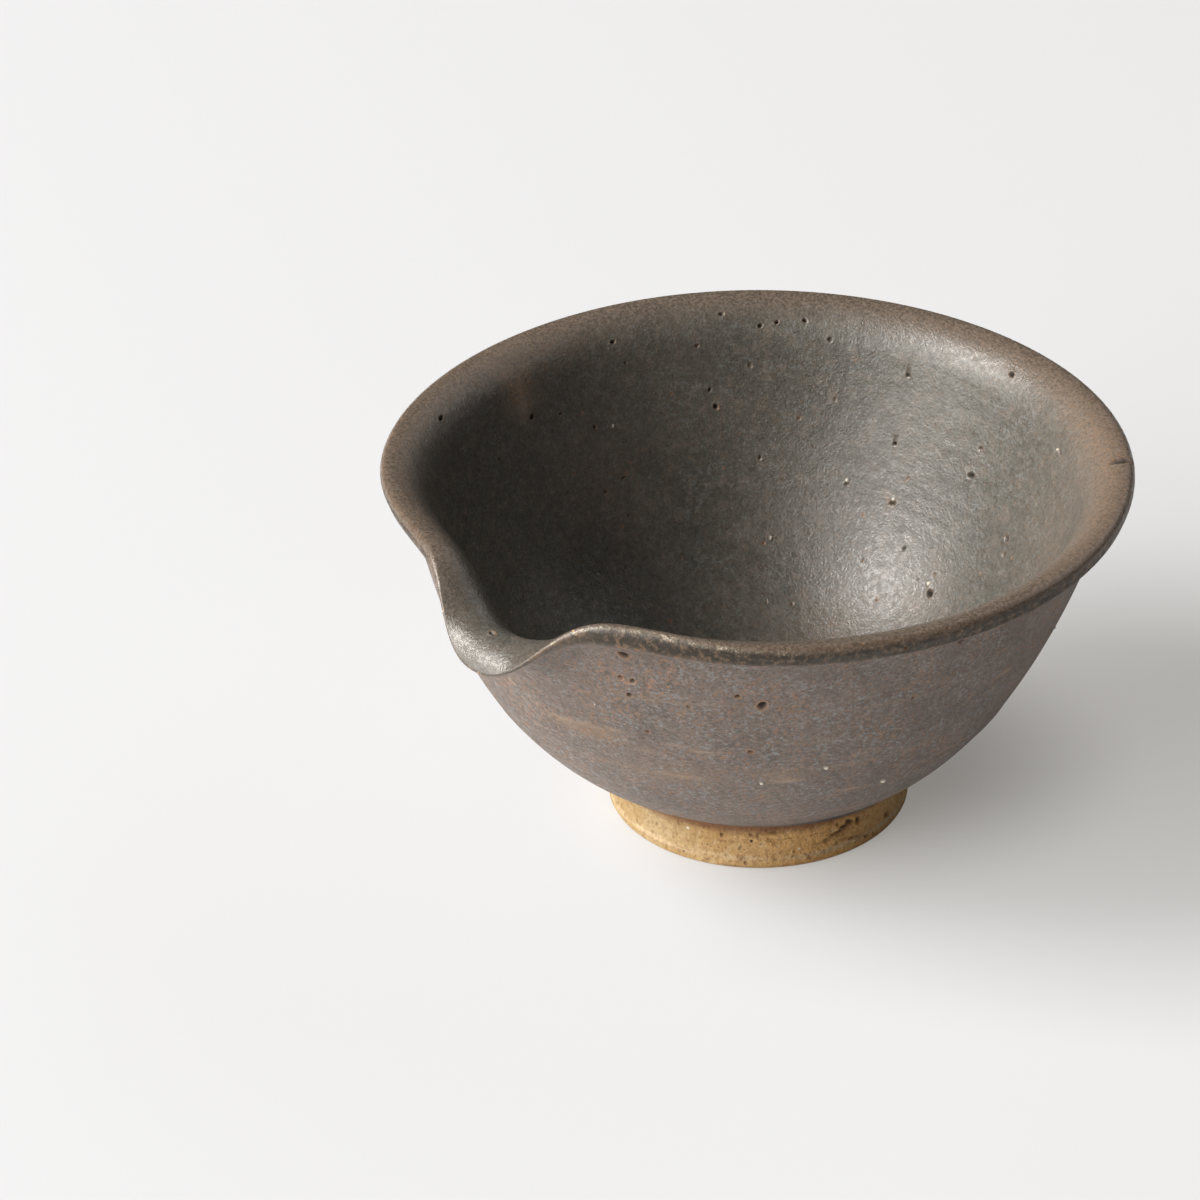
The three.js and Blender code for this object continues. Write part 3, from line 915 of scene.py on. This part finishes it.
# The lip's outer face: near black painted shade, mottled with brown.
FACE_SHADE_DARK = (0.014, 0.008, 0.002, 1)
FACE_BROWN = (0.125, 0.08, 0.045, 1)
BLUE_GREY = (0.23, 0.24, 0.245, 1)
RUST = (0.3, 0.16, 0.088, 1)
RUST_DARK = (0.1, 0.055, 0.03, 1)
ORANGE = (0.4, 0.19, 0.075, 1)
BLUSH_BROWN = (0.25, 0.183, 0.138, 1)
BREAK_BROWN = (0.26, 0.168, 0.098, 1)
STROKE_TAN = (0.36, 0.265, 0.18, 1)
# The lump's pink, partly painted light on the shaded wall.
LUMP_PINK = (0.34, 0.25, 0.21, 1)
GRAIN_WHITE = (0.75, 0.7, 0.6, 1)
SPARK_GOLD = (0.7, 0.42, 0.2, 1)
# Pale crystals and a painted highlight on the lip's crest.
PALE_CRYSTAL_AND_GLINT = (0.68, 0.6, 0.44, 1)
# Dark thick glaze with painted shadow, at the glaze's end.
HEM_BLACK_AND_SHADOW = (0.03, 0.03, 0.035, 1)
# Painted shade in the pits' holes.
PIT_SHADE_BLACK = (0.008, 0.006, 0.005, 1)
CLAY_TAN = (0.38, 0.256, 0.107, 1)
CLAY_PALE = (0.445, 0.34, 0.185, 1)
# Painted warm light on the foot's shaded side.
CLAY_WARM_LIGHT = (0.69, 0.385, 0.132, 1)
CLAY_BURNT = (0.24, 0.12, 0.045, 1)
# Pale patches of the clay, also a painted highlight line on the foot.
CLAY_PALE_AND_HIGHLIGHT = (0.66, 0.52, 0.34, 1)
CLAY_FLASH = (0.16, 0.062, 0.03, 1)
# Dark specks in the clay, also painted shade in the foot's pits.
CLAY_SPECK_AND_PIT_SHADE = (0.03, 0.022, 0.018, 1)
GLAZE_IOR = 1.55
CLAY_ROUGHNESS = 0.85
# Heights on the foot, in metres: a painted highlight line, and where the brown under the glaze begins and
# is full.
HIGHLIGHT_LINE_HEIGHT = 0.0019
HIGHLIGHT_LINE_HALF_WIDTH = 0.0009
BROWN_FROM = 0.0072
BROWN_FULL = 0.0088


def iron_glaze():
    """Distances along the surface are in millimetres; sizes of noise and cells are counts a metre."""
    material, tree, shader, where = new_material("iron_glaze")
    along = attribute(tree, "from_lip")
    thin = attribute(tree, "thin")
    wear_and_glint = attribute(tree, "wear_and_glint")
    hole = attribute(tree, "hole")
    edge = attribute(tree, "edge")
    stroke = attribute(tree, "stroke")
    wander = product(tree, noise_at(tree, where, 260, 3, 0.6), 1.6)
    outside = span(tree, total(tree, along, wander), 4.1, 6.1)

    # Clouds of thicker and thinner glaze, and a fine mottle.
    cloud = clots(tree, where, 60, 4, 0.6, 0.35, 0.65, 0.0, 0.36)
    fine_cloud = clots(tree, where, 420, 3, 0.6, 0.3, 0.7, 0.0, 0.28)
    mottle = clots(tree, where, 1900, 2, 0.6, 0.36, 0.64, 0.0, 0.36)
    mixed = total(tree, cloud, fine_cloud, mottle)

    # Crystals: soft blue-grey and rusty clots, fine flecks, and rings.
    flat = stretched(tree, where, (1.0, 1.0, 1.4))
    blue = clots(tree, flat, 1150, 4, 0.7, 0.5, 0.6)
    blue = product(tree, blue, clots(tree, where, 210, 3, 0.6, 0.4, 0.6, 0.35, 1.0))
    flatter = stretched(tree, where, (1.1, 0.9, 1.5))
    rust = clots(tree, flatter, 1250, 4, 0.7, 0.52, 0.61, distortion=0.3)
    rust_patch = product(tree, rust, clots(tree, where, 130, 3, 0.6, 0.42, 0.62, 0.25, 1.0))
    dark_fleck = clots(tree, flat, 2100, 2, 0.6, 0.54, 0.62)
    distance, chances = cells_at(tree, where, 270)
    ring = product(tree, band(tree, distance, 0.1, 0.045), span(tree, chances[1], 0.84, 0.86))

    # Outside with turning streaks and light strokes; inside with blots, rusty dots and the lump's pale
    # pink, partly painted light.
    streak = clots(tree, stretched(tree, where, (14, 14, 520)), 1, 4, 0.65, 0.55, 0.75)
    torn = clots(tree, stretched(tree, where, (420, 420, 1500)), 1, 3, 0.6, 0.3, 0.5, 0.15, 0.9)
    outer = coats(
        tree, colour_mix(tree, mixed, OUTSIDE_DARK, OUTSIDE_LIGHT),
        (product(tree, blue, 0.85), BLUE_GREY),
        (product(tree, rust_patch, 0.85), RUST),
        (product(tree, dark_fleck, 0.6), INSIDE_DARK),
        (product(tree, ring, 0.5), BLUE_GREY),
        (product(tree, dots_at(tree, where, 780, 0.32, 0.18), 0.65), ORANGE),
        (product(tree, streak, 0.3), STROKE_TAN),
        (product(tree, stroke, torn), STROKE_TAN))
    inner = coats(
        tree, colour_mix(tree, mixed, INSIDE_DARK, INSIDE_LIGHT),
        (clots(tree, where, 480, 4, 0.65, 0.5, 0.66, 0.0, 0.25), BLUSH_BROWN),
        (stroke, LUMP_PINK),
        (product(tree, rust_patch, 0.4), RUST_DARK),
        (product(tree, blue, 0.35), BLUE_GREY),
        (product(tree, dark_fleck, 0.3), LIP_DARK),
        (product(tree, dots_at(tree, where, 330, 0.12, 0.16), 0.6), RUST),
        (product(tree, dots_at(tree, where, 950, 0.12, 0.2), 0.4), RUST))

    # The lip, where the glaze runs thin: brown above; near black on its face, which is painted shade,
    # mottled with brown.
    speckle = clots(tree, where, 2100, 3, 0.65, 0.38, 0.62, 0.3, 1.0)
    lip_brown = colour_mix(tree, speckle, LIP_DARK, LIP_BROWN)
    lip_colour = colour_mix(tree, product(tree, thin, 0.6), lip_brown, SPOUT_GREY)
    face_shade_colour = colour_mix(tree, clots(tree, where, 900, 4, 0.75, 0.46, 0.66), FACE_SHADE_DARK, FACE_BROWN)
    # Painted shade on the lip's face, except at the spout's thin edge.
    face_shade = product(tree, span(tree, along, 1.2, 2.0), less(tree, thin))
    broken_edge = clots(tree, where, 420, 3, 0.6, 0.45, 0.6)
    spout_edge = product(tree, thin, band(tree, along, 2.2, 1.4), broken_edge, 0.55)
    lip = coats(
        tree, inner,
        (span(tree, along, -8.0, -1.0, 0.0, 0.85), lip_colour),
        (face_shade, face_shade_colour),
        (spout_edge, RUST))

    # Rusty lines along the lip, and on its crest gold sparks and pale patches, which are pale crystals with
    # a painted highlight.
    lower_line = product(tree, band(tree, along, 4.4, 0.8), clots(tree, where, 650, 3, 0.6, 0.48, 0.64))
    outer_line = product(tree, band(tree, along, 0.9, 0.9), less(tree, wear_and_glint))
    pale = total(tree, noise_at(tree, where, 2500, 4, 0.75), product(tree, wear_and_glint, 0.14))
    patches = clots(tree, where, 330, 2, 0.5, 0.42, 0.56, 0.15, 1.0)
    # Pale crystals with a painted highlight along the crest.
    crest = product(tree, band(tree, along, 1.4, 0.7), span(tree, pale, 0.6, 0.72), patches)
    grouped = clots(tree, where, 110, 2, 0.5, 0.48, 0.58, 0.1, 1.0)
    sparks = product(tree, dots_at(tree, where, 1000, 0.35, 0.26), grouped, band(tree, along, 1.2, 1.3))
    # The glaze's end darkened: dark thick glaze with painted shadow under its roll.
    hem = product(tree, attribute(tree, "hem"), clots(tree, where, 300, 3, 0.6, 0.3, 0.5))

    # Brown breaks, grains, and the pits with their rusty edges and painted shade in their holes.
    broken = clots(tree, where, 1700, 4, 0.75, 0.36, 0.6, 0.25, 1.0)
    blush = product(tree, attribute(tree, "blush"), broken)
    pinhole = dots_at(tree, where, 330, 0.2, 0.09)
    colour = coats(
        tree, colour_mix(tree, outside, lip, outer),
        (product(tree, lower_line, 0.55), ORANGE),
        (product(tree, outer_line, 0.4), RUST_DARK),
        (product(tree, crest, 0.6), PALE_CRYSTAL_AND_GLINT),
        (product(tree, sparks, 0.85), SPARK_GOLD),
        (product(tree, hem, 0.9), HEM_BLACK_AND_SHADOW),
        (product(tree, blush, 0.6), colour_mix(tree, outside, BLUSH_BROWN, BREAK_BROWN)),
        (product(tree, blush, rust, 0.25), ORANGE),
        (attribute(tree, "grain"), GRAIN_WHITE),
        (product(tree, edge, 0.7), ORANGE),
        # Painted shade in the pits' holes.
        (product(tree, hole, 0.9), PIT_SHADE_BLACK),
        (product(tree, pinhole, 0.6), RUST_DARK))
    tree.links.new(colour, shader.inputs["Base Color"])

    # The wall outside is the driest; the crest of the lip and the spout shine most,
    # the spout in glittering spots, and so do the rims of the pits, where the glaze gathered.
    rough = total(
        tree, span(tree, outside, 0.0, 1.0, 0.37, 0.55),
        clots(tree, where, 1000, 3, 0.6, 0.3, 0.7, -0.12, 0.12),
        product(tree, band(tree, along, -0.5, 2.6), -0.08),
        product(tree, thin, band(tree, along, -3.0, 8.0), -0.06),
        product(tree, thin, clots(tree, where, 1400, 3, 0.6, 0.42, 0.58, -0.07, 0.13)),
        product(tree, face_shade, 0.14),
        product(tree, edge, -0.2),
        product(tree, hole, 0.6))
    tree.links.new(rough, shader.inputs["Roughness"])

    normal = relief(
        tree,
        (noise_at(tree, stretched(tree, where, (60, 60, 300)), 1, 2, 0.5), 0.5, 0.0003),
        (noise_at(tree, where, 650, 2, 0.5), 0.7, 0.00012),
        (noise_at(tree, where, 2300, 3, 0.5), 0.85, 0.00009),
        (noise_at(tree, where, 5200, 2, 0.5), 0.6, 0.00004),
        (less(tree, pinhole), 0.7, 0.0001))
    tree.links.new(normal, shader.inputs["Normal"])
    shader.inputs["IOR"].default_value = GLAZE_IOR
    return material


def bare_clay():
    material, tree, shader, where = new_material("bare_clay")
    height = add_node(tree, "ShaderNodeSeparateXYZ", {0: where}).outputs["Z"]
    sand = noise_at(tree, where, 1900, 3, 0.7)
    coarse = noise_at(tree, where, 640, 3, 0.6)
    dragged = noise_at(tree, stretched(tree, where, (70, 70, 1100)), 1, 4, 0.6)
    # A pale line painted round the foot: a painted highlight, broken by the dragged noise.
    highlight_band = band(tree, height, HIGHLIGHT_LINE_HEIGHT, HIGHLIGHT_LINE_HALF_WIDTH)
    painted_highlight_line = product(tree, highlight_band, span(tree, dragged, 0.35, 0.55), 0.6)
    uneven = total(tree, height, product(tree, noise_at(tree, where, 300, 4, 0.7), 0.0024))
    clay = colour_mix(tree, clots(tree, where, 140, 4, 0.65, 0.35, 0.65), CLAY_TAN, CLAY_PALE)
    colour = coats(
        tree, clay,
        # Painted warm light on the shaded side.
        (product(tree, attribute(tree, "painted_warm_light"), 0.8), CLAY_WARM_LIGHT),
        # The painted highlight line.
        (painted_highlight_line, CLAY_PALE_AND_HIGHLIGHT),
        (span(tree, dragged, 0.52, 0.66, 0, 0.3), CLAY_BURNT),
        (span(tree, sand, 0.5, 0.66, 0, 0.5), CLAY_BURNT),
        (span(tree, coarse, 0.56, 0.68, 0, 0.55), CLAY_BURNT),
        (span(tree, coarse, 0.42, 0.32, 0, 0.35), CLAY_PALE_AND_HIGHLIGHT),
        (span(tree, uneven, BROWN_FROM, BROWN_FULL, 0, 0.85), CLAY_FLASH),
        (dots_at(tree, where, 300, 0.12, 0.12), CLAY_SPECK_AND_PIT_SHADE),
        (dots_at(tree, where, 760, 0.12, 0.15), CLAY_SPECK_AND_PIT_SHADE),
        (product(tree, dots_at(tree, where, 420, 0.06, 0.15), 0.8), GRAIN_WHITE),
        (product(tree, attribute(tree, "edge"), 0.55), CLAY_BURNT),
        # Painted shade in the holes of the foot's pits.
        (product(tree, attribute(tree, "hole"), 0.85), CLAY_SPECK_AND_PIT_SHADE))
    tree.links.new(colour, shader.inputs["Base Color"])
    shader.inputs["Roughness"].default_value = CLAY_ROUGHNESS
    normal = relief(tree, (coarse, 0.7, 0.0004), (sand, 0.8, 0.0002), (dragged, 0.6, 0.00025))
    tree.links.new(normal, shader.inputs["Normal"])
    return material


# Pieces.

def make_glaze():
    surface = glazed_line(WALL_RINGS, LIP_RINGS)
    surface = chain(surface[:-2], evenly(surface[-3:], HEM_RINGS))
    skin = turn_body("glaze_skin", np.concatenate([surface, hidden_line(HIDDEN_RINGS)[::-1]]))
    pits = all_pits()
    cut_finely(skin, near_marks(pits, *read_spots(skin.data.polygons, "center")), PIT_CUTS)
    shape_bowl(skin, *press_glaze(skin, pits))
    skin.data.materials.append(iron_glaze())
    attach(skin, "root")
    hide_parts("glaze_coat")
    return skin


def make_foot():
    clay = turn_body("clay_foot", np.concatenate([hidden_line(HIDDEN_RINGS), foot_line()]))
    cut_finely(clay, on_foot(read_spots(clay.data.polygons, "center")[0]), 1)
    shape_bowl(clay, *press_foot(clay, foot_pits()))
    clay.data.materials.append(bare_clay())
    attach(clay, "root")
    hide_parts("clay_body")
    return clay


# Stage.

# The photograph's view: the camera's place is in the turning frame of the wheel,
# before the spout is turned to its side of the picture.
LENS = 165.0
SENSOR = 36.0
CAMERA_DISTANCE = 768.7
CAMERA_HEIGHT = 482.6
CAMERA_YAW = -0.0333
CAMERA_PITCH = 0.5267
CAMERA_ROLL = -0.0152
SPOUT_SIDE = math.radians(270 - 226.7)


def round_the_wheel(place):
    """A place in millimetres in the picture's frame, in the row frame in metres."""
    return Matrix.Rotation(SPOUT_SIDE, 3, "Z") @ Vector(place) * MM + Vector((0, AXIS_Y * MM, 0))


def make_camera():
    deselect_all()
    bpy.ops.object.camera_add(location=round_the_wheel((0, -CAMERA_DISTANCE, CAMERA_HEIGHT)))
    camera = bpy.context.object
    turn = Matrix.Rotation(SPOUT_SIDE - CAMERA_YAW, 3, "Z")
    tip = Matrix.Rotation(math.pi / 2 - CAMERA_PITCH, 3, "X")
    roll = Matrix.Rotation(CAMERA_ROLL, 3, "Z")
    camera.rotation_euler = (turn @ tip @ roll).to_euler()
    camera.data.sensor_width = SENSOR
    camera.data.lens = LENS
    camera.data.clip_end = 20
    bpy.context.scene.camera = camera


DAYLIGHT = (1.0, 0.965, 0.92)
LAMP_DISTANCE = 3.0
AIM_HEIGHT = 30
ROOM_LIGHT = 0.04
# Lamps: side and rise seen from the bowl, in degrees, size in metres, and strength.
LAMPS = {
    "window": (185, 44, (1.5, 1.3), 0.9),
    "window_wall": (203, 27, (3.8, 2.2), 1.53),
    "back_fill": (40, 38, (3.0, 1.5), 0.16),
}


def add_light(name, side, rise, size, strength):
    """A soft lamp, turned to the bowl, that lights what faces it this much."""
    side, rise = math.radians(side), math.radians(rise)
    way = Vector((math.cos(rise) * math.cos(side), math.cos(rise) * math.sin(side), math.sin(rise)))
    deselect_all()
    bpy.ops.object.light_add(type="AREA", location=round_the_wheel(way * LAMP_DISTANCE / MM))
    light = bpy.context.object
    light.name = name
    light.data.shape = "RECTANGLE"
    light.data.size, light.data.size_y = size
    light.data.color = DAYLIGHT
    light.data.energy = strength * (math.pi * LAMP_DISTANCE) ** 2
    aim = round_the_wheel((0, 0, AIM_HEIGHT)) - light.location
    light.rotation_euler = aim.to_track_quat("-Z", "Y").to_euler()


# The floor: what the bowl sees of it, and what the camera sees, which glows less under the bowl.
FLOOR_SIZE = 12
FLOOR_ROUGHNESS = 0.9
FLOOR_GREY = (0.82, 0.82, 0.82, 1)
FLOOR_SEEN = (0.405, 0.424, 0.462, 1)
FLOOR_GLOW = (0.385, 0.371, 0.348, 1)
FLOOR_GLOW_UNDER = (0.19, 0.18, 0.165, 1)
UNDER_BOWL = round_the_wheel((22, 8, 0))
GLOW_NEAR = 0.005
GLOW_FAR = 0.045


def make_stage():
    deselect_all()
    bpy.ops.mesh.primitive_plane_add(size=FLOOR_SIZE, location=(0, 0, 0))
    floor = bpy.context.object
    floor.name = "floor"
    material, tree, shader, where = new_material("pale_table")
    shader.inputs["Base Color"].default_value = FLOOR_GREY
    shader.inputs["Roughness"].default_value = FLOOR_ROUGHNESS
    seen = add_node(tree, "ShaderNodeBsdfDiffuse", {"Color": FLOOR_SEEN})
    away = add_node(tree, "ShaderNodeVectorMath", {0: where, 1: UNDER_BOWL}, operation="DISTANCE")
    share = span(tree, away.outputs["Value"], GLOW_NEAR, GLOW_FAR)
    glow_colour = colour_mix(tree, share, FLOOR_GLOW_UNDER, FLOOR_GLOW)
    glow = add_node(tree, "ShaderNodeEmission", {"Color": glow_colour})
    both = add_node(tree, "ShaderNodeAddShader", {0: seen.outputs[0], 1: glow.outputs[0]})
    path = add_node(tree, "ShaderNodeLightPath")
    choice = add_node(tree, "ShaderNodeMixShader",
                      {0: path.outputs["Is Camera Ray"], 1: shader.outputs[0], 2: both.outputs[0]})
    tree.links.new(choice.outputs[0], tree.nodes["Material Output"].inputs["Surface"])
    floor.data.materials.append(material)
    for name, lamp in LAMPS.items():
        add_light(name, *lamp)
    world = bpy.data.worlds.new("room")
    bpy.context.scene.world = world
    world.use_nodes = True
    back = world.node_tree.nodes["Background"]
    back.inputs["Color"].default_value = (1, 1, 1, 1)
    back.inputs["Strength"].default_value = ROOM_LIGHT
    bpy.context.scene.view_settings.view_transform = "Standard"


make_glaze()
make_foot()
make_stage()
make_camera()
